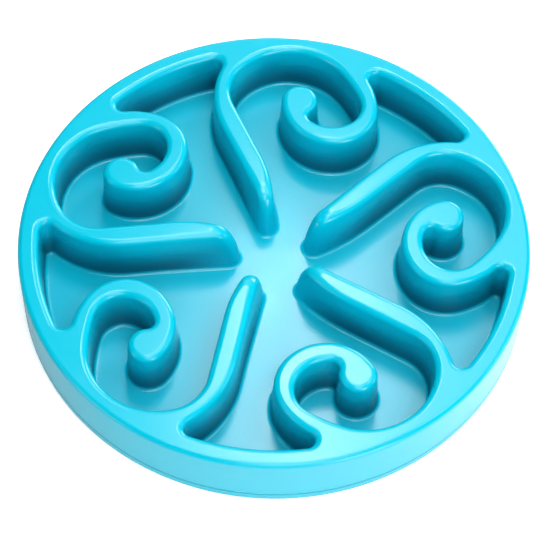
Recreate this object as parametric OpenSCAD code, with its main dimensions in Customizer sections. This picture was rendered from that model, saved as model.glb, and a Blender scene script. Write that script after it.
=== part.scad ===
// Slow feeder bowl: a round, flat bowl whose channel winds between five scroll-shaped ridges.
// An upper moulding carries the rim, the skirt, the ridges and the channel. A base plate closes
// it from below along a seam near the foot of the skirt, and five rubber feet plug into the plate.
// Millimetres. Z is up, and Z = 0 is the surface that the feet stand on.

/* [Bowl] */
// Outside diameter across the rim
rim_d = 295; // [260:1:340]
// Height of the rim above the surface that the bowl stands on
bowl_h = 40; // [30:0.5:60]
// Radius of the rim's outer edge
rim_round = 3; // [1:0.1:5]
// How much further out the skirt stands at the foot than at the rim
skirt_flare = 0.5; // [0:0.1:2]
// Thickness of the moulded walls
wall_t = 2.5; // [1.8:0.1:3]

/* [Channel] */
// Width of the flat rim outside the channel
rim_land = 11.6; // [9:0.1:14]
// Radius of the top edges of ridges and rim
edge_round = 4; // [1:0.1:4.4]
// Radius between the channel's walls and its floor
floor_fillet = 2.2; // [1:0.1:5]
// Radius of the pockets' corners, where a ridge runs into the rim
pocket_round = 4.7; // [3:0.1:7]
// Draft of the channel's walls, in degrees
draft = 3; // [0.5:0.1:5]

/* [Ridge ends] */
// Length over which a ridge's inner end rounds down to the floor
nose_len = 13; // [8:0.5:18]
// How far the flat top stops short of the ridge's inner tip
nose_set = 6.5; // [4:0.5:9]

/* [Base plate] */
// Height of the plate's edge, which shows below the seam
band_h = 5.6; // [5:0.1:7]
// Thickness of the plate
plate_t = 2.5; // [1.6:0.1:4]
// Depth of the recess in the underside
recess = 0.8; // [0.3:0.1:1.2]
// Width of the flat land around the recess
land_w = 13; // [8:0.5:20]
// Width and depth of the chamfers that form the seam's groove
seam_chamfer = 0.5; // [0.2:0.1:0.8]
// Height of the tongue that stands inside the skirt
tongue_h = 5; // [4:0.1:8]
// Thickness of the tongue
tongue_t = 2.2; // [1.4:0.1:2.6]
// Gap between the tongue and the skirt
tongue_gap = 0.2; // [0.1:0.05:0.4]
// Radius of the snap bead round the tongue
bead_r = 0.45; // [0.3:0.05:0.6]
// Thickness of the ribs that carry the channel's floor
rib_t = 2; // [1:0.1:3]

/* [Feet] */
// Diameter of a foot
foot_d = 16; // [12:0.5:20]
// How far the feet stand below the plate
foot_proud = 1; // [0.6:0.1:2]
// Depth of a foot's seat in the plate
seat_depth = 2.2; // [1.4:0.1:2.8]
// How far the boss round a foot's hole stands above the plate
boss_h = 0.4; // [0.1:0.1:2]
// Diameter of the plug on a foot
plug_d = 4.4; // [3:0.1:6]
// Thickness of the head that holds the plug
head_t = 1.2; // [0.6:0.1:3]
// Gap between the plugs' heads and the channel's floor above them
head_gap = 0.6; // [0.3:0.1:3]
// Distance of a foot's centre from the plate's edge
foot_inset = 26; // [22:0.5:60]

/* [Hidden] */
$fn = 144;

ridge_count = 5;
sector = 360 / ridge_count;
pattern_turn = -9;
overrun = 1;
chord_gap = 0.6;
line_step = 9;

shell_colour = [0.27, 0.85, 0.92];
plate_colour = [0.24, 0.80, 0.88];
foot_colour = [0.16, 0.18, 0.20];

// Heights and radii that follow from the sizes above
rim_r = rim_d / 2;
foot_of_skirt_r = rim_r + skirt_flare;
channel_r = rim_r - rim_land;
edge_z = bowl_h - edge_round;
base_z = foot_proud;
seam_z = base_z + band_h;
plate_under_z = base_z + recess;
plate_top_z = plate_under_z + plate_t;
seat_top_z = base_z + seat_depth;
roof_top_z = plate_top_z + boss_h;
head_top_z = roof_top_z + head_t;
under_z = head_top_z + head_gap;
floor_z = under_z + wall_t;
channel_depth = bowl_h - floor_z;
foot_ring_r = foot_of_skirt_r - foot_inset;

// The channel's outline, one ridge of the five, as shares of the rim radius. It starts on the left
// of the ridge's stem, rounds the inner tip, runs out along the right of the stem, round the inside
// of the scroll to the bulb, and back along the outside of the scroll. Each row is a share and a
// turn in degrees, to the left where positive: the share is the arc's radius, or the length of a
// straight where the turn is zero. The outline has the channel on its right.
start_share = [-0.304, 0.490];
start_heading = -56;
stem_arc_share = 0.388;
link_shares = [
    [0.360, 0],
    [0.032, 160],
    [0.519, 20],
    [0.281, 0],
    [0.169, -64],
    [0.265, -104],
    [0.595, -14],
    [0.107, -87],
    [0.135, -65],
    [0.031, -101],
    [0.073, 226],
    [0.209, 107],
    [0.177, 76],
    [0.320, 28]
];
stem_links = 4;
nose_blend_share = 0.30;
nose_heading = -66;
nose_power = 2.2;
room_share = 0.85;
touching_share = 0.00005;

// Directions and small helpers
function along(a) = [cos(a), sin(a)];
function left_of(a) = [-sin(a), cos(a)];
function angle_of(v) = atan2(v.y, v.x);
function turned(v, a) = [v.x * cos(a) - v.y * sin(a), v.x * sin(a) + v.y * cos(a)];
function unit(v) = v / norm(v);
function wrapped(a) = a - 360 * floor(a / 360);
function smooth(t) = t <= 0 ? 0 : t >= 1 ? 1 : t * t * (3 - 2 * t);
function total(list, i = 0) = i >= len(list) ? 0 : list[i] + total(list, i + 1);

// A link is [share, turn], and a pose is [position, heading]
function link_size(link) = link[0] * rim_r;
function arc_centre(p, heading, r, side) = p + side * r * left_of(heading);
function link_end(pose, link) =
    let (s = link_size(link), side = sign(link[1]), h = pose[1] + link[1])
    side == 0
        ? [pose[0] + s * along(pose[1]), h]
        : [arc_centre(pose[0], pose[1], s, side) - side * s * left_of(h), h];
function poses(pose, i = 0) =
    i >= len(link_shares)
        ? [pose]
        : concat([pose], poses(link_end(pose, link_shares[i]), i + 1));

start_pose = [start_share * rim_r, start_heading];
link_poses = poses(start_pose);

// Points of an arc without its last one, as many as keep each chord within chord_gap of the arc
function arc_steps(r, sweep) = max(1, ceil(abs(sweep) / (2 * acos(1 - chord_gap / r))));
function arc_points(c, r, a, sweep) =
    let (n = arc_steps(r, sweep))
    [for (i = [0 : n - 1]) c + r * along(a + sweep * i / n)];
function arc_from_to(c, p, q, side) =
    let (a = angle_of(p - c), b = angle_of(q - c))
    arc_points(c, norm(p - c), a, side > 0 ? wrapped(b - a) : -wrapped(a - b));
function line_points(p, heading, length) =
    let (n = ceil(length / line_step))
    [for (i = [0 : n - 1]) p + length * i / n * along(heading)];
function link_points(pose, link) =
    let (s = link_size(link), side = sign(link[1]))
    side == 0
        ? line_points(pose[0], pose[1], s)
        : arc_points(arc_centre(pose[0], pose[1], s, side), s, pose[1] - side * 90, link[1]);

// Corner between a ridge's arc and the rim: its circle touches the rim from inside and the arc
// from outside, and side says on which side of the arc's centre it lies
function corner_centre(c, r, side) =
    let (d = channel_r - pocket_round,
         e = r + pocket_round,
         m = norm(c),
         a = (d * d - e * e + m * m) / (2 * m),
         u = c / m)
    a * u + side * sqrt(d * d - a * a) * left_of(angle_of(u));

last = len(link_shares) - 1;
stem_arc_r = stem_arc_share * rim_r;
stem_arc_c = arc_centre(start_pose[0], start_pose[1], stem_arc_r, 1);
curl_arc_r = link_size(link_shares[last]);
curl_arc_c = arc_centre(link_poses[last][0], link_poses[last][1], curl_arc_r, 1);
stem_corner = corner_centre(stem_arc_c, stem_arc_r, 1);
curl_corner = corner_centre(curl_arc_c, curl_arc_r, -1);
stem_touch = stem_arc_c + stem_arc_r * unit(stem_corner - stem_arc_c);
curl_touch = curl_arc_c + curl_arc_r * unit(curl_corner - curl_arc_c);
stem_rim = channel_r * unit(stem_corner);
curl_rim = channel_r * unit(curl_corner);

stem_points = concat(
    arc_from_to(stem_corner, stem_rim, stem_touch, -1),
    arc_from_to(stem_arc_c, stem_touch, start_pose[0], 1)
);
ridge_points = [for (i = [0 : last - 1]) each link_points(link_poses[i], link_shares[i])];
curl_points = concat(
    arc_from_to(curl_arc_c, link_poses[last][0], curl_touch, 1),
    arc_from_to(curl_corner, curl_touch, curl_rim, -1),
    arc_from_to([0, 0], curl_rim, turned(stem_rim, -sector), -1)
);
outline_one = concat(stem_points, ridge_points, curl_points);
outline_all = [for (k = [0 : ridge_count - 1]) for (p = outline_one) turned(p, -k * sector)];
n_one = len(outline_one);
n_all = len(outline_all);

// At each point: the direction into the channel, and the room on either side of the wall, which is
// the radius of the largest circle that touches the wall there and crosses it nowhere else
function point_at(i) = outline_all[(i + n_all) % n_all];
function inward(i) =
    let (t = unit(unit(point_at(i + 1) - point_at(i)) + unit(point_at(i) - point_at(i - 1))))
    [t.y, -t.x];
function room(p, n) = min(concat([rim_r], [
    for (q = outline_all)
        let (d = q - p, s = d * n)
        if (s > touching_share * rim_r) d * d / (2 * s)
]));
normals = [for (i = [0 : n_one - 1]) inward(i)];
room_in = [for (i = [0 : n_one - 1]) room(outline_one[i], normals[i])];
room_out = [for (i = [0 : n_one - 1]) room(outline_one[i], -normals[i])];

// How far each point takes part in the slide that rounds the ridge's inner end
nose_pose = link_poses[1];
nose_tip = link_end(nose_pose, [link_shares[1][0], link_shares[1][1] / 2])[0];
stem_count = total([for (i = [0 : stem_links - 1]) len(link_points(link_poses[i], link_shares[i]))]);
nose_weight = [
    for (i = [0 : n_one - 1])
        i < len(stem_points) || i > len(stem_points) + stem_count
            ? 0
            : smooth(1 - norm(outline_one[i] - nose_tip) / (nose_blend_share * rim_r))
];

// A step off the outline that never reaches the middle of the ridge or of the channel
function held_back(step, space) =
    step / pow(1 + pow(step / (room_share * space), 4), 1 / 4);
function stepped(step, i) =
    step < 0 ? -held_back(-step, room_out[i]) : held_back(step, room_in[i]);
function slide(z) =
    let (t = min(max((z - floor_z) / channel_depth, 0), 1))
    nose_len * pow(1 - pow(t, nose_power), 1 / nose_power) - nose_set;

// One closed ring of the wall: a level is [step, height, height at which the slide is taken]
function ring(level) =
    let (one = [
        for (i = [0 : n_one - 1])
            outline_one[i]
                + stepped(level[0], i) * normals[i]
                + slide(level[2]) * nose_weight[i] * along(nose_heading)
    ])
    [for (k = [0 : ridge_count - 1]) for (p = one)
        let (q = turned(p, pattern_turn - k * sector)) [q.x, q.y, level[1]]];

// Levels of the channel's wall, from the floor up: floor radius, drafted wall, rounded top edge
fillet_steps = 2;
wall_steps = 3;
edge_steps = 3;
function wall_step(z) = (edge_z - z) * tan(draft);
fillet_c = wall_step(floor_z + floor_fillet) + floor_fillet / cos(draft);
wall_low_z = floor_z + floor_fillet * (1 - sin(draft));
wall_high_z = edge_z + edge_round * sin(draft);
function depth_turn(z) = asin((z - floor_z) / channel_depth);
low_turn = depth_turn(wall_low_z);
high_turn = depth_turn(wall_high_z);
function fillet_level(a) =
    let (z = floor_z + floor_fillet * (1 - cos(a)))
    [fillet_c - floor_fillet * sin(a), z, z];
function wall_level(i) =
    let (z = floor_z + channel_depth * sin(low_turn + (high_turn - low_turn) * i / wall_steps))
    [wall_step(z), z, z];
function edge_level(a) =
    let (z = edge_z + edge_round * sin(a))
    [edge_round * cos(a) - edge_round / cos(draft), z, z];
channel_levels = concat(
    [for (i = [0 : fillet_steps]) fillet_level((90 - draft) * i / fillet_steps)],
    [for (i = [1 : wall_steps - 1]) wall_level(i)],
    [for (i = [0 : edge_steps]) edge_level(draft + (90 - draft) * i / edge_steps)]
);

// Levels of the hollow's side of the same wall, from the top down, one wall thickness further out
casing_round = floor_fillet + wall_t;
casing_low_z = under_z + casing_round * (1 - sin(draft));
casing_high_z = bowl_h - wall_t;
function casing_level(z) = [wall_step(z) - wall_t / cos(draft), z, z + wall_t];
casing_levels = [
    casing_level(casing_high_z),
    casing_level((casing_low_z + casing_high_z) / 2),
    casing_level(casing_low_z),
    [fillet_c, under_z, floor_z]
];

// Skirt: outer and inner radius at a height, on a straight line from rim to foot
skirt_top_z = bowl_h - rim_round;
function skirt_r(z) = rim_r + skirt_flare * (skirt_top_z - z) / (skirt_top_z - base_z);
function skirt_in_r(z) = skirt_r(z) - wall_t;
tongue_r = skirt_in_r(seam_z) - tongue_gap;
tongue_top_z = seam_z + tongue_h;
bead_z = seam_z + tongue_h / 2;
groove_r = bead_r + tongue_gap;

// Section of rim and skirt, from the rim's flat top over the outside and up the inside, with the
// groove for the plate's snap bead
rim_steps = 3;
rim_levels = concat(
    [for (i = [0 : rim_steps])
        let (a = 90 - 90 * i / rim_steps)
        [rim_r - rim_round + rim_round * cos(a), skirt_top_z + rim_round * sin(a)]],
    [
        [skirt_r(seam_z + seam_chamfer), seam_z + seam_chamfer],
        [skirt_r(seam_z) - seam_chamfer, seam_z],
        [skirt_in_r(seam_z), seam_z],
        [skirt_in_r(bead_z - groove_r), bead_z - groove_r],
        [skirt_in_r(bead_z) + bead_r, bead_z],
        [skirt_in_r(bead_z + groove_r), bead_z + groove_r],
        [skirt_in_r(casing_high_z), casing_high_z]
    ]
);

// One closed ring round the rim, clockwise like the outline, from where the outline is nearest
rim_sides = 24 * ridge_count;
bridge_i = n_one - 1;
bridge_angle = angle_of(outline_one[bridge_i]) + pattern_turn;
function rim_ring(level) = [
    for (i = [0 : rim_sides - 1])
        let (q = level[0] * along(bridge_angle - 360 * i / rim_sides)) [q.x, q.y, level[1]]
];

// Faces of a band between two rings of n points
function band(a, b, n) = [
    for (i = [0 : n - 1])
        let (j = (i + 1) % n)
        each [[a + i, b + j, a + j], [a + i, b + i, b + j]]
];
function bands(first, rings, n) = [
    for (r = [0 : rings - 2]) each band(first + r * n, first + (r + 1) * n, n)
];

// One sector of the flat between the outline and the rim's ring, with the rim's points in front and
// the outline's points behind, and one sector of the floor, from ridge tip to ridge tip
rim_sector = rim_sides / ridge_count;
function flat(outline, rim, k) = concat(
    [for (i = [0 : rim_sector]) rim + (k * rim_sector + i) % rim_sides],
    [for (i = [n_one : -1 : 0]) outline + (bridge_i + k * n_one + i) % n_all]
);
tip_r = min([for (p = outline_one) norm(p)]);
tip_i = [for (i = [0 : n_one - 1]) if (norm(outline_one[i]) == tip_r) i][0];
function floor_sector(outline, middle, k) = concat(
    [middle],
    [for (i = [0 : n_one]) outline + (tip_i + k * n_one + i) % n_all]
);
function backwards(list) = [for (i = [len(list) - 1 : -1 : 0]) list[i]];

// Triangles that fill a flat polygon: each step cuts off the corner with the shortest new side
function cross_of(a, b) = a.x * b.y - a.y * b.x;
function turn_of(p) = sign(total([for (i = [0 : len(p) - 1]) cross_of(p[i], p[(i + 1) % len(p)])]));
function holds(a, b, c, q, side) =
    side * cross_of(b - a, q - a) >= 0
        && side * cross_of(c - b, q - b) >= 0
        && side * cross_of(a - c, q - c) >= 0;
function is_clear(p, left, k, side) =
    let (n = len(left), i = (k + n - 1) % n, j = (k + 1) % n)
    len([
        for (m = [0 : n - 1])
            if (m != i && m != k && m != j && holds(p[left[i]], p[left[k]], p[left[j]], p[left[m]], side)) m
    ]) == 0;
function best_corner(p, left, side, k = 0, best = -1, shortest = 0) =
    k >= len(left)
        ? max(best, 0)
        : let (n = len(left),
               a = p[left[(k + n - 1) % n]],
               b = p[left[k]],
               c = p[left[(k + 1) % n]],
               d = norm(c - a),
               better = (best < 0 || d < shortest)
                   && side * cross_of(b - a, c - b) > 0
                   && is_clear(p, left, k, side))
          best_corner(p, left, side, k + 1, better ? k : best, better ? d : shortest);
function cut_up(p, left, side) =
    len(left) < 4
        ? [left]
        : let (n = len(left), k = best_corner(p, left, side))
          concat(
              [[left[(k + n - 1) % n], left[k], left[(k + 1) % n]]],
              cut_up(p, [for (i = [0 : n - 1]) if (i != k) left[i]], side)
          );
function filled(points, loops) =
    let (flat_points = [for (i = loops[0]) [points[i].x, points[i].y]],
         cuts = cut_up(flat_points, [for (i = [0 : len(flat_points) - 1]) i], turn_of(flat_points)))
    [for (loop = loops) for (cut = cuts) [for (i = cut) loop[i]]];

module shell_body() {
    sectors = [0 : ridge_count - 1];
    rim_first = len(channel_levels) * n_all;
    casing_first = rim_first + len(rim_levels) * rim_sides;
    casing_last = casing_first + (len(casing_levels) - 1) * n_all;
    middle = casing_last + n_all;
    points = concat(
        [for (level = channel_levels) each ring(level)],
        [for (level = rim_levels) each rim_ring(level)],
        [for (level = casing_levels) each ring(level)],
        [[0, 0, floor_z], [0, 0, under_z]]
    );
    faces = concat(
        filled(points, [for (k = sectors) floor_sector(0, middle, k)]),
        bands(0, len(channel_levels), n_all),
        filled(points, [for (k = sectors) flat(rim_first - n_all, rim_first, k)]),
        bands(rim_first, len(rim_levels), rim_sides),
        filled(points, [for (k = sectors) backwards(flat(casing_first, casing_first - rim_sides, k))]),
        bands(casing_first, len(casing_levels), n_all),
        filled(points, [for (k = sectors) backwards(floor_sector(casing_last, middle + 1, k))])
    );
    polyhedron(points, faces);
}

// Keys inside the skirt fit notches in the tongue and set the plate's turn
key_w = 3;
key_gap = 0.2;
key_h = tongue_h + key_w;
key_low_z = bead_z + groove_r + key_gap;
key_depth = tongue_t + tongue_gap;

module keys() {
    for (k = [0 : ridge_count - 1])
        rotate(k * sector)
            translate([skirt_in_r(key_low_z) - key_depth, -key_w / 2, key_low_z])
                cube([key_depth + wall_t / 2, key_w, key_h]);
}

module maze_shell() {
    color(shell_colour) {
        shell_body();
        keys();
    }
}

// Base plate
plate_edge_round = 1;
plate_land_r = foot_of_skirt_r - land_w;
rib_rings_share = [0.30, 0.62];
cup_wall = 2.3;
seat_gap = 0.2;
plug_gap = 0.2;
seat_r = foot_d / 2 + seat_gap;
gate_d = 7;
mark_d = 6;
mark_depth = 0.2;
mark_ring_share = [0.22, 0.70];
plate_edge_steps = 8;

module plate_outline() {
    polygon(concat(
        [[0, plate_under_z], [plate_land_r - recess, plate_under_z], [plate_land_r, base_z]],
        [for (i = [0 : plate_edge_steps])
            [foot_of_skirt_r - plate_edge_round, base_z + plate_edge_round]
                + plate_edge_round * along(90 * i / plate_edge_steps - 90)],
        [[skirt_r(seam_z - seam_chamfer), seam_z - seam_chamfer]],
        [[skirt_r(seam_z) - seam_chamfer, seam_z]],
        [[tongue_r, seam_z], [tongue_r, tongue_top_z], [tongue_r - tongue_t, tongue_top_z]],
        [[tongue_r - tongue_t, plate_top_z], [0, plate_top_z]]
    ));
}

module at_feet() {
    for (k = [0 : ridge_count - 1])
        rotate(k * sector + sector / 2) translate([foot_ring_r, 0, 0]) children();
}

module base_plate() {
    color(plate_colour)
        difference() {
            union() {
                rotate_extrude() plate_outline();
                rotate_extrude() translate([tongue_r, bead_z]) circle(bead_r);
                at_feet() translate([0, 0, base_z]) cylinder(r = seat_r + cup_wall, h = roof_top_z - base_z);
                for (share = rib_rings_share)
                    translate([0, 0, plate_under_z])
                        difference() {
                            cylinder(r = share * rim_r + rib_t / 2, h = under_z - plate_under_z);
                            translate([0, 0, -overrun])
                                cylinder(r = share * rim_r - rib_t / 2, h = under_z + overrun);
                        }
            }
            at_feet() translate([0, 0, base_z - overrun]) cylinder(r = seat_r, h = seat_depth + overrun);
            at_feet() translate([0, 0, base_z]) cylinder(d = plug_d + 2 * plug_gap, h = roof_top_z);
            for (k = [0 : ridge_count - 1])
                rotate(k * sector)
                    translate([tongue_r - 2 * tongue_t, -key_w / 2 - key_gap, seam_z - key_gap])
                        cube([3 * tongue_t, key_w + 2 * key_gap, key_h + overrun]);
            translate([0, 0, plate_under_z - overrun]) cylinder(d = gate_d, h = overrun + mark_depth);
            for (share = mark_ring_share)
                for (k = [0 : ridge_count - 1])
                    rotate(k * sector)
                        translate([share * rim_r, 0, plate_under_z - overrun])
                            cylinder(d = mark_d, h = overrun + mark_depth);
        }
}

// One foot: a disc in its seat, a plug through the plate and a head above it
foot_edge = 0.6;
head_d = plug_d + 2;

module foot_at(k) {
    color(foot_colour)
        rotate(k * sector + sector / 2)
            translate([foot_ring_r, 0, 0])
                rotate_extrude()
                    polygon([
                        [0, 0],
                        [foot_d / 2 - foot_edge, 0],
                        [foot_d / 2, foot_edge],
                        [foot_d / 2, seat_top_z],
                        [plug_d / 2, seat_top_z],
                        [plug_d / 2, roof_top_z],
                        [head_d / 2, roof_top_z],
                        [plug_d / 2, head_top_z],
                        [0, head_top_z]
                    ]);
}

maze_shell();
base_plate();
foot_at(0);  // foot_1
foot_at(1);  // foot_2
foot_at(2);  // foot_3
foot_at(3);  // foot_4
foot_at(4);  // foot_5
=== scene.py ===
import bpy
import numpy as np
from mathutils import Matrix, Vector
from mathutils.geometry import delaunay_2d_cdt


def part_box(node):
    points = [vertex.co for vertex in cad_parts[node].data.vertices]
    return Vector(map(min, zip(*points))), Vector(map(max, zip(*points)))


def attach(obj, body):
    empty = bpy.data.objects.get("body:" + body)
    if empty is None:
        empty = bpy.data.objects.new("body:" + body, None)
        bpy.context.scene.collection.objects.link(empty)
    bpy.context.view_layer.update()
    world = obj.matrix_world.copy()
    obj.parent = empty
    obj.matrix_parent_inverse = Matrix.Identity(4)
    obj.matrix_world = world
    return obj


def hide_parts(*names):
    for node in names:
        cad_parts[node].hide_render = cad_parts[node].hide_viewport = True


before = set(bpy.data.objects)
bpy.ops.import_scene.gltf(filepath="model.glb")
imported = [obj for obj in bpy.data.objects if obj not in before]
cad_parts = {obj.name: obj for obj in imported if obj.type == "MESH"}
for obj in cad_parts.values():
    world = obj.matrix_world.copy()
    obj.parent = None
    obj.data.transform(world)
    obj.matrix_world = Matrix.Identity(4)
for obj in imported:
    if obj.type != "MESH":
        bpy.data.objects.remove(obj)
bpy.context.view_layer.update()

MM = 0.001

# Sizes of the bowl in millimetres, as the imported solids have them
shell_low, shell_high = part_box("maze_shell")
plate_low, plate_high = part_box("base_plate")
BOWL_H = shell_high.z / MM
FOOT_OF_SKIRT_R = plate_high.x / MM
BASE_Z = plate_low.z / MM
UNDER_Z = shell_low.z / MM
RIM_R = 147.5
RIM_ROUND = 3.0
WALL = 2.5
LAND = 11.6
EDGE_ROUND = 4.0
FILLET = 2.2
POCKET_ROUND = 4.7
DRAFT = np.radians(3.0)
NOSE_LEN = 13.0
NOSE_SET = 6.5
NOSE_POWER = 2.2
SEAM_Z = 6.6
SEAM_CHAMFER = 0.5
BEAD_R = 0.45
BEAD_GAP = 0.2
TONGUE_H = 5.0
RIDGES = 5
SECTOR = 2 * np.pi / RIDGES
PATTERN_TURN = np.radians(-9.0)
FLOOR_Z = UNDER_Z + WALL
DEPTH = BOWL_H - FLOOR_Z
EDGE_Z = BOWL_H - EDGE_ROUND
CHANNEL_R = RIM_R - LAND

# One ridge of the channel's outline, as shares of the rim radius: each row is an arc's radius and
# its turn in degrees, to the left where positive, or a straight's length and zero
START_SHARE = (-0.304, 0.490)
START_HEADING = np.radians(-56)
STEM_ARC_SHARE = 0.388
LINK_SHARES = (
    (0.360, 0), (0.032, 160), (0.519, 20), (0.281, 0), (0.169, -64), (0.265, -104), (0.595, -14),
    (0.107, -87), (0.135, -65), (0.031, -101), (0.073, 226), (0.209, 107), (0.177, 76), (0.320, 28),
)
STEM_LINKS = 4
NOSE_BLEND_SHARE = 0.30
NOSE_HEADING = np.radians(-66)
ROOM_SHARE = 0.85
HOLD_POWER = 4

# How much painted shade, a darker colour standing in for the shade low in the channel, the channel's
# floor and the seam's groove take, where the walls low down take all
FLOOR_SHADE = 0.15
SEAM_SHADE = 0.3

# How finely the surfaces are worked out, in millimetres: the bell curve that smooths the room beside
# the wall and its reach in points, the least distance along a normal that counts as room, the gap
# between an arc and its chord, the step along a straight, how near the seam's edge the skirt's
# shading starts to turn, and how close two points of a flat count as one
ROOM_SMOOTH = 2.0
ROOM_REACH = 30
LEAST_ROOM = 1e-3
CHORD_GAP = 0.015
LINE_STEP = 2.0
EDGE_BLEND = 0.1
SAME_PLACE = 1e-6


def along(angle):
    """Unit vectors at these angles."""
    return np.stack([np.cos(angle), np.sin(angle)], -1)


def left_of(v):
    """The vectors turned a quarter turn to the left."""
    return np.stack([-v[..., 1], v[..., 0]], -1)


def turned(v, angle):
    """The points turned about the origin by angle."""
    c, s = np.cos(angle), np.sin(angle)
    return np.stack([v[..., 0] * c - v[..., 1] * s, v[..., 0] * s + v[..., 1] * c], -1)


def unit(v):
    """The vectors at length one."""
    return v / np.linalg.norm(v, axis=-1, keepdims=True)


def arc(centre, radius, start, sweep):
    """Points of an arc without its last one, and the direction of travel at each of them."""
    count = max(2, int(np.ceil(abs(sweep) / (2 * np.arccos(1 - CHORD_GAP / radius)))))
    angle = start + sweep * np.arange(count) / count
    return centre + radius * along(angle), np.sign(sweep) * left_of(along(angle))


def arc_between(centre, start, end, side):
    """The arc round centre from one point to another, to the left where side is 1."""
    a, b = (np.arctan2(p[1] - centre[1], p[0] - centre[0]) for p in (start, end))
    return arc(centre, np.linalg.norm(start - centre), a, side * ((side * (b - a)) % (2 * np.pi)))


def straight(start, heading, length):
    """Points of a straight without its last one, and the direction of travel at each of them."""
    count = int(np.ceil(length / LINE_STEP))
    points = start + np.outer(length * np.arange(count) / count, along(heading))
    return points, np.tile(along(heading), (count, 1))


def corner(centre, radius, side):
    """Centre of a pocket's corner circle, which touches the rim from inside and the arc from outside."""
    d, e, m = CHANNEL_R - POCKET_ROUND, radius + POCKET_ROUND, np.linalg.norm(centre)
    a = (d * d - e * e + m * m) / (2 * m)
    return a * centre / m + side * np.sqrt(d * d - a * a) * left_of(centre / m)


def outline():
    """One ridge's outline: its points, the directions into the channel, and how far each point takes part
    in the slide that rounds the ridge's inner tip, by a smooth step of its distance from the tip."""
    first_place = np.array(START_SHARE) * RIM_R
    stem_r, curl_r = STEM_ARC_SHARE * RIM_R, LINK_SHARES[-1][0] * RIM_R
    stem_c = first_place + stem_r * left_of(along(START_HEADING))
    place, heading = first_place, START_HEADING
    runs, starts = [], []
    for share, turn in LINK_SHARES:
        size, sweep, side = share * RIM_R, np.radians(turn), np.sign(turn)
        starts.append((place, heading))
        if turn == 0:
            runs.append(straight(place, heading, size))
            place = place + size * along(heading)
        else:
            centre = place + side * size * left_of(along(heading))
            runs.append(arc(centre, size, heading - side * np.pi / 2, sweep))
            heading = heading + sweep
            place = centre - side * size * left_of(along(heading))
    curl_start, curl_heading = starts[-1]
    curl_c = curl_start + curl_r * left_of(along(curl_heading))
    stem_corner, curl_corner = corner(stem_c, stem_r, 1), corner(curl_c, curl_r, -1)
    stem_touch = stem_c + stem_r * unit(stem_corner - stem_c)
    curl_touch = curl_c + curl_r * unit(curl_corner - curl_c)
    stem_rim, curl_rim = CHANNEL_R * unit(stem_corner), CHANNEL_R * unit(curl_corner)
    runs = [
        arc_between(stem_corner, stem_rim, stem_touch, -1),
        arc_between(stem_c, stem_touch, first_place, 1),
        *runs[:-1],
        arc_between(curl_c, curl_start, curl_touch, 1),
        arc_between(curl_corner, curl_touch, curl_rim, -1),
        arc_between(np.zeros(2), curl_rim, turned(stem_rim, -SECTOR), -1),
    ]
    points = np.concatenate([run[0] for run in runs])
    travel = np.concatenate([run[1] for run in runs])
    tip_start, tip_heading = starts[1]
    tip_r, half_turn = LINK_SHARES[1][0] * RIM_R, np.radians(LINK_SHARES[1][1] / 2)
    tip = tip_start + tip_r * (left_of(along(tip_heading)) - left_of(along(tip_heading + half_turn)))
    low = sum(len(run[0]) for run in runs[:2])
    high = low + sum(len(run[0]) for run in runs[2:2 + STEM_LINKS])
    index = np.arange(len(points))
    t = np.clip(1 - np.linalg.norm(points - tip, axis=1) / (NOSE_BLEND_SHARE * RIM_R), 0, 1)
    weight = np.where((index < low) | (index > high), 0, t * t * (3 - 2 * t))
    return points, -left_of(travel), weight


def room(points, normals, everything):
    """Radius of the largest circle that touches the wall at each point and crosses it nowhere else: the
    least, over all other points, of their distance squared over twice their part along the normal."""
    d = everything[None] - points[:, None]
    s = np.einsum("ijk,ik->ij", d, normals)
    radius = np.where(s > LEAST_ROOM, (d ** 2).sum(-1) / (2 * np.maximum(s, LEAST_ROOM)), RIM_R)
    return np.minimum(radius.min(1), RIM_R)


def smoothed(values, points):
    """The values averaged along the closed outline with a bell curve ROOM_SMOOTH wide."""
    count = len(values)
    apart = np.abs(np.arange(count)[None] - np.arange(count)[:, None])
    near = np.minimum(apart, count - apart) < ROOM_REACH
    distance = np.linalg.norm(points[None] - points[:, None], axis=-1)
    weight = np.exp(-0.5 * (distance / ROOM_SMOOTH) ** 2) * near
    return (weight * values[None]).sum(1) / weight.sum(1)


class ChannelWall:
    """The channel's wall as a function of two parameters: a point along the outline and a level."""

    def __init__(self):
        self.one, self.normal, self.weight = outline()
        every = np.concatenate([turned(self.one, -k * SECTOR) for k in range(RIDGES)])
        self.room_in = smoothed(room(self.one, self.normal, every), self.one)
        self.room_out = smoothed(room(self.one, -self.normal, every), self.one)

    def ring(self, step, z, slide_z):
        """The outline moved by step into the channel, less where there is little room, and with the
        ridge tips slid along their own line by a quarter of a blunt ellipse of the depth at slide_z.
        Near the room's edge a step is held back by a smooth rule, so that it never reaches past it."""
        space = ROOM_SHARE * (self.room_out if step < 0 else self.room_in)
        held = step / (1 + (abs(step) / space) ** HOLD_POWER) ** (1 / HOLD_POWER)
        t = np.clip((slide_z - FLOOR_Z) / DEPTH, 0, 1)
        slide = NOSE_LEN * (1 - t ** NOSE_POWER) ** (1 / NOSE_POWER) - NOSE_SET
        shift = slide * self.weight[:, None] * along(NOSE_HEADING)
        flat = self.one + held[:, None] * self.normal + shift
        flat = np.concatenate([turned(flat, PATTERN_TURN - k * SECTOR) for k in range(RIDGES)])
        return np.column_stack([flat, np.full(len(flat), z)])


def wall_step(z):
    """How far the drafted wall stands into the channel at this height."""
    return (EDGE_Z - z) * np.tan(DRAFT)


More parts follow.
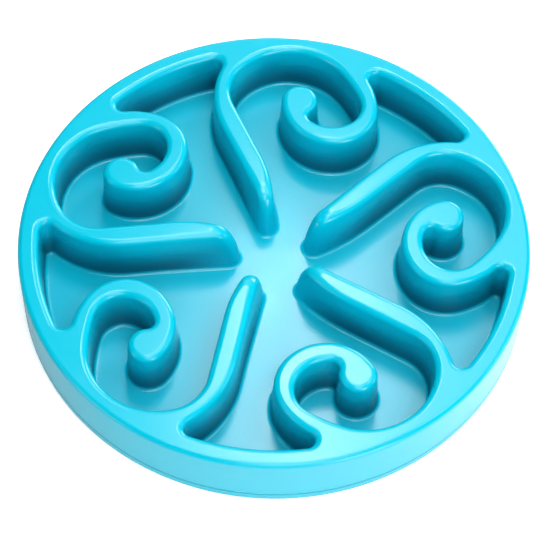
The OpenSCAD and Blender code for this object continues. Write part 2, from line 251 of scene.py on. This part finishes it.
def channel_rings(wall, fillet_steps=8, wall_steps=8, edge_steps=10):
    """Rings of the channel's wall from the floor up: a quarter circle, the drafted wall and a quarter
    circle. On the wall their heights follow a sine, so that they lie closer where the tips bend most."""
    centre = wall_step(FLOOR_Z + FILLET) + FILLET / np.cos(DRAFT)
    low = np.arcsin(FILLET * (1 - np.sin(DRAFT)) / DEPTH)
    high = np.arcsin((EDGE_Z + EDGE_ROUND * np.sin(DRAFT) - FLOOR_Z) / DEPTH)
    rings = []
    for a in np.linspace(0, np.pi / 2 - DRAFT, fillet_steps + 1):
        z = FLOOR_Z + FILLET * (1 - np.cos(a))
        rings.append(wall.ring(centre - FILLET * np.sin(a), z, z))
    for a in np.linspace(low, high, wall_steps + 1)[1:-1]:
        z = FLOOR_Z + DEPTH * np.sin(a)
        rings.append(wall.ring(wall_step(z), z, z))
    for a in np.linspace(DRAFT, np.pi / 2, edge_steps + 1):
        z = EDGE_Z + EDGE_ROUND * np.sin(a)
        rings.append(wall.ring(EDGE_ROUND * np.cos(a) - EDGE_ROUND / np.cos(DRAFT), z, z))
    return rings


def casing_rings(wall, steps=4):
    """Rings of the same wall's hidden side, one wall thickness further out, from the top down."""
    high = BOWL_H - WALL
    low = UNDER_Z + (FILLET + WALL) * (1 - np.sin(DRAFT))
    levels = np.linspace(high, low, steps)
    rings = [wall.ring(wall_step(z) - WALL / np.cos(DRAFT), z, z + WALL) for z in levels]
    centre = wall_step(FLOOR_Z + FILLET) + FILLET / np.cos(DRAFT)
    return [*rings, wall.ring(centre, UNDER_Z, FLOOR_Z)]


def skirt_r(z):
    """Outer radius of the skirt, on a straight line from rim to foot."""
    top = BOWL_H - RIM_ROUND
    return RIM_R + (FOOT_OF_SKIRT_R - RIM_R) * (top - z) / (top - BASE_Z)


def rim_rings(count=720, round_steps=10, skirt_steps=6):
    """Rings of rim and skirt, from the flat top round the outside and up the inside, as a profile
    carried round the axis."""
    bead_z, groove = SEAM_Z + TONGUE_H / 2, BEAD_R + BEAD_GAP
    a = np.linspace(np.pi / 2, 0, round_steps + 1)
    skirt_top, seam_edge = BOWL_H - RIM_ROUND, SEAM_Z + SEAM_CHAMFER
    profile = [*zip(RIM_R + RIM_ROUND * (np.cos(a) - 1), skirt_top + RIM_ROUND * np.sin(a))]
    levels = np.linspace(skirt_top, seam_edge, skirt_steps)[1:-1]
    profile += [(skirt_r(z), z) for z in (*levels, seam_edge + EDGE_BLEND, seam_edge)]
    profile += [
        (skirt_r(SEAM_Z) - SEAM_CHAMFER, SEAM_Z),
        (skirt_r(SEAM_Z) - WALL, SEAM_Z),
        (skirt_r(bead_z - groove) - WALL, bead_z - groove),
        (skirt_r(bead_z) - WALL + BEAD_R, bead_z),
        (skirt_r(bead_z + groove) - WALL, bead_z + groove),
        (skirt_r(BOWL_H - WALL) - WALL, BOWL_H - WALL),
    ]
    angle = -2 * np.pi * np.arange(count) / count
    return [np.column_stack([r * along(angle), np.full(count, z)]) for r, z in profile]


def bands(first, rings):
    """Quads between each two neighbours of a stack of equal rings whose points start at first."""
    count = len(rings[0])
    i = np.arange(count)
    j = (i + 1) % count
    quad = np.column_stack([i, j, count + j, count + i])
    return np.concatenate([first + count * k + quad for k in range(len(rings) - 1)])


def inside(points, loop):
    """Which points lie in a closed loop: those from which a line in one direction crosses it an odd
    number of times."""
    a, b = loop, np.roll(loop, -1, 0)
    y = points[:, 1, None]
    rise = np.where(a[:, 1] == b[:, 1], 1.0, b[:, 1] - a[:, 1])
    x = a[:, 0] + (y - a[:, 1]) * (b[:, 0] - a[:, 0]) / rise
    return (((a[:, 1] > y) != (b[:, 1] > y)) & (points[:, 0, None] < x)).sum(1) % 2 == 1


def cap(outer, outer_first, hole=None, hole_first=0, up=True):
    """Triangles of the flat inside the outer ring and outside the hole, facing up or down."""
    loops = [outer] if hole is None else [outer, hole]
    flat = np.concatenate([loop[:, :2] for loop in loops])
    index = outer_first + np.arange(len(outer))
    edges = [(i, (i + 1) % len(outer)) for i in range(len(outer))]
    if hole is not None:
        index = np.concatenate([index, hole_first + np.arange(len(hole))])
        edges += [(len(outer) + i, len(outer) + (i + 1) % len(hole)) for i in range(len(hole))]
    found = delaunay_2d_cdt([Vector(p) for p in flat], edges, [], 0, SAME_PLACE, True)
    source = np.array([origin[0] for origin in found[3]])
    triangles = source[np.array(found[2])]
    middle = flat[triangles].mean(1)
    keep = inside(middle, outer[:, :2])
    if hole is not None:
        keep &= ~inside(middle, hole[:, :2])
    triangles = triangles[keep]
    a, b, c = (flat[triangles[:, i]] for i in range(3))
    area = (b - a)[:, 0] * (c - a)[:, 1] - (b - a)[:, 1] * (c - a)[:, 0]
    wrong = (area > 0) != up
    triangles[wrong] = triangles[wrong][:, ::-1]
    return index[triangles]


def painted_wall_shade(wall, z):
    """How much painted shade the channel takes at one height, a darker colour in place of the shade low
    in the channel: none at the ridge tops, full low on the wall by a smooth step, a little on the floor,
    and none at the ridge tips, which slope and stay in the light."""
    t = np.clip((z - FLOOR_Z - FILLET) / (DEPTH - FILLET - EDGE_ROUND), 0, 1)
    low = np.clip((z - FLOOR_Z) / FILLET, FLOOR_SHADE, 1)
    return np.tile((1 - t * t * (3 - 2 * t)) * low * (1 - wall.weight ** 2), RIDGES)


def make_piece(name, points, faces, material, upright=(), shade=()):
    """A smooth mesh from points in millimetres. Each upright entry is a run of points that lie on a flat,
    and the way that the flat faces, so that its shading stays flat up to the rounding. The painted shade
    of the first points, a darker colour in place of the channel's shade, is kept with the mesh, for its
    material."""
    mesh = bpy.data.meshes.new(name)
    mesh.from_pydata((points * MM).tolist(), [], [face for group in faces for face in group.tolist()])
    mesh.update()
    mesh.shade_smooth()
    normals = np.zeros(len(points) * 3, np.float32)
    mesh.vertex_normals.foreach_get("vector", normals)
    normals = normals.reshape(-1, 3)
    for first, count, facing in upright:
        normals[first:first + count] = (0, 0, facing)
    mesh.normals_split_custom_set_from_vertices(normals.tolist())
    # Painted shade per point, kept as an attribute: how much darker colour each point takes in place of
    # the channel's shade
    depth = np.zeros(len(points), np.float32)
    depth[:len(shade)] = shade
    mesh.attributes.new("painted_channel_shade", "FLOAT", "POINT").data.foreach_set("value", depth)
    mesh.materials.append(material)
    piece = bpy.data.objects.new(name, mesh)
    bpy.context.scene.collection.objects.link(piece)
    return piece


def make_shell(material):
    """The upper moulding: channel, ridges, rim and skirt as one closed skin."""
    wall = ChannelWall()
    channel, rim, casing = channel_rings(wall), rim_rings(), casing_rings(wall)
    count, round_count = len(channel[0]), len(rim[0])
    rim_first = len(channel) * count
    casing_first = rim_first + len(rim) * round_count
    top_first, rim_last = rim_first - count, casing_first - round_count
    casing_last = casing_first + (len(casing) - 1) * count
    faces = [
        cap(channel[0], 0),
        bands(0, channel),
        cap(rim[0], rim_first, channel[-1], top_first),
        bands(rim_first, rim),
        cap(rim[-1], rim_last, casing[0], casing_first, up=False),
        bands(casing_first, casing),
        cap(casing[-1], casing_last, up=False),
    ]
    upright = [(0, count, 1), (top_first, count, 1), (rim_first, round_count, 1)]
    points = np.concatenate(channel + rim + casing)
    # Painted shade for each ring of the channel: a darker colour low on the walls and a little on the
    # floor
    shade = np.concatenate([painted_wall_shade(wall, ring[0, 2]) for ring in channel])
    return make_piece("shell_moulding", points, faces, material, upright, shade)


def linear(text):
    """An sRGB hex colour as linear RGBA."""
    c = np.array([int(text[i:i + 2], 16) for i in (0, 2, 4)]) / 255
    return (*np.where(c <= 0.04045, c / 12.92, ((c + 0.055) / 1.055) ** 2.4), 1.0)


def add_node(tree, kind, inputs=(), **settings):
    """A node with its settings, and with inputs from pairs of a name or number and a socket or value."""
    node = tree.nodes.new(kind)
    for name, value in settings.items():
        setattr(node, name, value)
    for name, source in inputs:
        if isinstance(source, bpy.types.NodeSocket):
            tree.links.new(source, node.inputs[name])
        else:
            node.inputs[name].default_value = source
    return node


# The names of a Map Range node's ends, and the socket numbers of a colour mix: its two colours and
# its result
RANGE_ENDS = ("From Min", "From Max", "To Min", "To Max")
COLOUR_A, COLOUR_B, COLOUR_OUT = 6, 7, 2

# Widths and heights of the patterns in the plastic and the rubber, in millimetres. Orange peel is one
# to two wide and is drawn about three wide, and the rubber's grain, a tenth wide, is drawn over half
# a millimetre wide, because finer ones wouldn't show in the render
DRIFT_WIDTH = 55.5
PATCH_WIDTH = 22.2
PEEL_WIDTH = 2.86
PEEL_HEIGHT = 0.04
GRAIN_WIDTH = 0.667
GRAIN_HEIGHT = 0.05

# What is added to the plastic's roughness: in its glossiest and its dullest patches, where the painted
# shade is deepest, and in the seam's groove
PATCH_GLOSS = -0.04
PATCH_DULL = 0.06
DEEP_DULL = 0.2
GROOVE_DULL = 0.6


def new_material(name):
    """A new material with its node tree and its shader."""
    material = bpy.data.materials.new(name)
    material.use_nodes = True
    return material, material.node_tree, material.node_tree.nodes["Principled BSDF"]


def polypropylene(name, base, deep, low, roughness):
    """Injection-moulded polypropylene, slightly cloudy: its colour drifts a little over the moulding, a
    faint orange peel softens its gloss, and handling leaves faint dull patches. Low on the channel's
    walls and in the seam's groove it takes painted shade, a darker colour in place of the shade there,
    and its gloss is duller."""
    material, tree, shader = new_material(name)
    place = add_node(tree, "ShaderNodeTexCoord").outputs["Object"]
    depth = add_node(tree, "ShaderNodeAttribute", attribute_name="painted_channel_shade").outputs["Fac"]
    height = add_node(tree, "ShaderNodeSeparateXYZ", [("Vector", place)]).outputs["Z"]
    # The seam's groove: a thin band at the seam's height that takes painted shade, a darker colour in
    # place of the shade in the groove, and a duller gloss
    groove = add_node(tree, "ShaderNodeMath", [
        (0, height), (1, SEAM_Z * MM), (2, SEAM_CHAMFER * MM),
    ], operation="COMPARE").outputs["Value"]
    shade = add_node(tree, "ShaderNodeMath", [
        (0, groove), (1, SEAM_SHADE), (2, depth),
    ], operation="MULTIPLY_ADD").outputs["Value"]
    drift = add_node(tree, "ShaderNodeTexNoise", [
        ("Vector", place), ("Scale", 1 / (DRIFT_WIDTH * MM)), ("Detail", 2),
    ]).outputs["Fac"]
    plain = add_node(tree, "ShaderNodeMix", [
        ("Factor", drift), (COLOUR_A, linear(base)), (COLOUR_B, linear(deep)),
    ], data_type="RGBA").outputs[COLOUR_OUT]
    # Painted shade: the colour turns towards low, the painted shade's colour, low in the channel and in
    # the seam's groove
    colour = add_node(tree, "ShaderNodeMix", [
        ("Factor", shade), (COLOUR_A, plain), (COLOUR_B, linear(low)),
    ], data_type="RGBA").outputs[COLOUR_OUT]
    tree.links.new(colour, shader.inputs["Base Color"])
    patches = add_node(tree, "ShaderNodeTexNoise", [
        ("Vector", place), ("Scale", 1 / (PATCH_WIDTH * MM)), ("Detail", 2),
    ]).outputs["Fac"]
    patched = add_node(tree, "ShaderNodeMapRange", [
        ("Value", patches), ("To Min", roughness + PATCH_GLOSS), ("To Max", roughness + PATCH_DULL),
    ]).outputs["Result"]
    dulled = add_node(tree, "ShaderNodeMath", [
        (0, shade), (1, DEEP_DULL), (2, patched),
    ], operation="MULTIPLY_ADD").outputs["Value"]
    matt = add_node(tree, "ShaderNodeMath", [
        (0, groove), (1, GROOVE_DULL), (2, dulled),
    ], operation="MULTIPLY_ADD").outputs["Value"]
    tree.links.new(matt, shader.inputs["Roughness"])
    peel = add_node(tree, "ShaderNodeTexNoise", [
        ("Vector", place), ("Scale", 1 / (PEEL_WIDTH * MM)), ("Detail", 0),
    ]).outputs["Fac"]
    bump = add_node(tree, "ShaderNodeBump", [
        ("Height", peel), ("Strength", 0.2), ("Distance", PEEL_HEIGHT * MM),
    ]).outputs["Normal"]
    tree.links.new(bump, shader.inputs["Normal"])
    shader.inputs["IOR"].default_value = 1.5
    # A little light goes into the plastic, its green and blue much further than its red
    shader.inputs["Subsurface Weight"].default_value = 0.03
    shader.inputs["Subsurface Radius"].default_value = (0.2, 1.0, 1.2)
    shader.inputs["Subsurface Scale"].default_value = 3 * MM
    return material


def rubber(name, base):
    """Moulded silicone rubber: matt, with a fine even grain."""
    material, tree, shader = new_material(name)
    place = add_node(tree, "ShaderNodeTexCoord").outputs["Object"]
    grain = add_node(tree, "ShaderNodeTexNoise", [
        ("Vector", place), ("Scale", 1 / (GRAIN_WIDTH * MM)), ("Detail", 3),
    ]).outputs["Fac"]
    bump = add_node(tree, "ShaderNodeBump", [
        ("Height", grain), ("Strength", 0.3), ("Distance", GRAIN_HEIGHT * MM),
    ]).outputs["Normal"]
    tree.links.new(bump, shader.inputs["Normal"])
    shader.inputs["Base Color"].default_value = linear(base)
    shader.inputs["Roughness"].default_value = 0.7
    return material


# Camera of the photograph, from a fit to the bowl's outline and its five equal ridges: elevation and
# roll, distance and shift of the aim in rim radii, focal length and picture width in pixels, sensor
# width in millimetres, and the nearest and furthest that it sees, in metres
VIEW_ELEVATION = np.radians(57.855)
VIEW_ROLL = np.radians(-1.130)
VIEW_DISTANCE = 7.5145
VIEW_AIM = (0.01468, -0.00680)
FOCAL_PIXELS = 1868.8
PICTURE_PIXELS = 540
SENSOR = 36.0
VIEW_REACH = (0.05, 20.0)


def make_camera():
    """The camera looks along +Y and down at VIEW_ELEVATION, at an aim point near the plate's middle."""
    data = bpy.data.cameras.new("photo_camera")
    camera = bpy.data.objects.new("photo_camera", data)
    bpy.context.scene.collection.objects.link(camera)
    forward = Vector((0, np.cos(VIEW_ELEVATION), -np.sin(VIEW_ELEVATION)))
    right = Vector((1, 0, 0))
    up = right.cross(forward)
    reach = RIM_R * MM
    place = (-forward * VIEW_DISTANCE - right * VIEW_AIM[0] - up * VIEW_AIM[1]) * reach
    c, s = np.cos(VIEW_ROLL), np.sin(VIEW_ROLL)
    across, upright = right * c - up * s, right * s + up * c
    camera.matrix_world = Matrix.Translation(place + Vector((0, 0, BASE_Z * MM))) @ Matrix(
        [(across[i], upright[i], -forward[i]) for i in range(3)]).to_4x4()
    data.sensor_width = SENSOR
    data.lens = FOCAL_PIXELS / PICTURE_PIXELS * SENSOR
    data.clip_start, data.clip_end = VIEW_REACH
    bpy.context.scene.camera = camera


def make_light(name, elevation, azimuth, width, height, power):
    """A soft light at LIGHT_REACH from the bowl, in this direction in degrees, turned to the bowl."""
    data = bpy.data.lights.new(name, "AREA")
    data.shape, data.energy = "RECTANGLE", power
    data.size, data.size_y = width, height
    light = bpy.data.objects.new(name, data)
    upward, around = np.radians(elevation), np.radians(azimuth)
    way = Vector((np.cos(upward) * np.cos(around), np.cos(upward) * np.sin(around), np.sin(upward)))
    light.location = LIGHT_REACH * way
    light.rotation_euler = (-way).to_track_quat("-Z", "Y").to_euler()
    bpy.context.scene.collection.objects.link(light)


# The paper floor: half its width in metres, and the share of light that it gives back
FLOOR_HALF = 3.0
PAPER_WHITE = 0.9

# Levels of the studio, each as two places and the level at each: the floor's glow, by the distance
# from the bowl in metres, the floor's whiteness in the bowl's gloss, by the place along X in metres, as
# with a dark card on the left, and the world's light, by the direction along Y, from front to back
FLOOR_GLOW = (0.5, 1.5, 0.6, 1.0)
PAPER_SIDE = (-0.25, 0.05, 0.25, 1.0)
WORLD_RISE = (-0.3, 0.7, 0.0, 0.03)


def white_paper():
    """Matt white paper, lit evenly: it glows for the camera, the more the further off, and in the bowl's
    gloss, where it is less white on the left."""
    material, tree, shader = new_material("white_paper")
    shader.inputs["Roughness"].default_value = 0.9
    shader.inputs["Emission Color"].default_value = (1, 1, 1, 1)
    rays = add_node(tree, "ShaderNodeLightPath").outputs
    place = add_node(tree, "ShaderNodeTexCoord").outputs["Object"]
    across = add_node(tree, "ShaderNodeSeparateXYZ", [("Vector", place)]).outputs["X"]
    side = add_node(tree, "ShaderNodeMapRange", [
        ("Value", across), *zip(RANGE_ENDS, PAPER_SIDE),
    ], interpolation_type="SMOOTHSTEP").outputs["Result"]
    white = add_node(tree, "ShaderNodeMix", [
        ("Factor", rays["Is Glossy Ray"]), ("A", PAPER_WHITE), ("B", side),
    ]).outputs["Result"]
    tree.links.new(white, shader.inputs["Base Color"])
    gloss = add_node(tree, "ShaderNodeMath", [
        (0, rays["Is Glossy Ray"]), (1, side),
    ], operation="MULTIPLY").outputs["Value"]
    seen = add_node(tree, "ShaderNodeMath", [
        (0, rays["Is Camera Ray"]), (1, gloss),
    ], operation="ADD").outputs["Value"]
    far = add_node(tree, "ShaderNodeVectorMath", [("Vector", place)], operation="LENGTH").outputs["Value"]
    rise = add_node(tree, "ShaderNodeMapRange", [
        ("Value", far), *zip(RANGE_ENDS, FLOOR_GLOW),
    ], interpolation_type="SMOOTHSTEP").outputs["Result"]
    glow = add_node(tree, "ShaderNodeMath", [
        (0, seen), (1, rise),
    ], operation="MULTIPLY").outputs["Value"]
    tree.links.new(glow, shader.inputs["Emission Strength"])
    return material


def make_world():
    """The studio's own light: faint, and rising smoothly along +Y, while the camera sees it as white."""
    world = bpy.data.worlds.new("white_studio")
    bpy.context.scene.world = world
    world.use_nodes = True
    tree = world.node_tree
    background = tree.nodes["Background"]
    background.inputs["Color"].default_value = (1, 1, 1, 1)
    rays = add_node(tree, "ShaderNodeLightPath").outputs
    way = add_node(tree, "ShaderNodeTexCoord").outputs["Generated"]
    along_y = add_node(tree, "ShaderNodeSeparateXYZ", [("Vector", way)]).outputs["Y"]
    level = add_node(tree, "ShaderNodeMapRange", [
        ("Value", along_y), *zip(RANGE_ENDS, WORLD_RISE),
    ], interpolation_type="SMOOTHSTEP").outputs["Result"]
    seen = add_node(tree, "ShaderNodeMix", [
        ("Factor", rays["Is Camera Ray"]), ("A", level), ("B", 1),
    ]).outputs["Result"]
    tree.links.new(seen, background.inputs["Strength"])


def make_floor():
    """A white paper floor under the bowl, which keeps its shadow."""
    mesh = bpy.data.meshes.new("floor")
    corners = FLOOR_HALF * np.array([(-1, -1, 0), (1, -1, 0), (1, 1, 0), (-1, 1, 0)])
    mesh.from_pydata(corners.tolist(), [], [(0, 1, 2, 3)])
    mesh.materials.append(white_paper())
    floor = bpy.data.objects.new("floor", mesh)
    bpy.context.scene.collection.objects.link(floor)


# Soft lights all round the bowl at one reach, as the photograph's sheens and flats show them: name,
# elevation and azimuth in degrees, width and height in metres, and power in watts
LIGHT_REACH = 1.4
LIGHTS = (
    ("top_softbox", 90, 0, 0.6, 0.5, 6.4),
    ("sheen_strip", 64, 87, 0.2, 0.42, 3.6),
    ("back_right_strip", 12, 60, 0.6, 0.5, 7.0),
    ("front_right_strip", 12, 300, 0.6, 0.5, 6.5),
    ("right_strip", 12, 0, 0.6, 0.5, 2.0),
    ("right_softbox", 60, 0, 0.6, 0.5, 3.5),
    ("back_right_softbox", 60, 60, 0.6, 0.5, 2.0),
    ("front_high_softbox", 60, 285, 0.6, 0.5, 4.0),
    ("back_softbox", 35, 90, 0.6, 0.5, 1.9),
    ("left_softbox", 35, 195, 0.6, 0.5, 0.5),
    ("left_low_strip", 5, 210, 0.6, 0.2, 2.0),
    ("front_softbox", 35, 275, 0.6, 0.5, 3.2),
)

# Each plastic's last colour, 00607A, is the painted shade's colour, taken low in the channel and in the
# seam's groove in place of shade
shell_plastic = polypropylene("moulded_polypropylene_shell", "00CBE6", "00C6E1", "00607A", 0.2)
plate_plastic = polypropylene("moulded_polypropylene_plate", "00CBE5", "00C5DF", "00607A", 0.2)
foot_rubber = rubber("moulded_silicone_rubber", "9FB9BE")

shell = make_shell(shell_plastic)
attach(shell, "root")
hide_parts("maze_shell")

for node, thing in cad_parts.items():
    if node != "maze_shell":
        thing.data.materials.clear()
        thing.data.materials.append(plate_plastic if node == "base_plate" else foot_rubber)

make_camera()
make_floor()
make_world()
for light in LIGHTS:
    make_light(*light)
bpy.context.scene.view_settings.view_transform = "Standard"
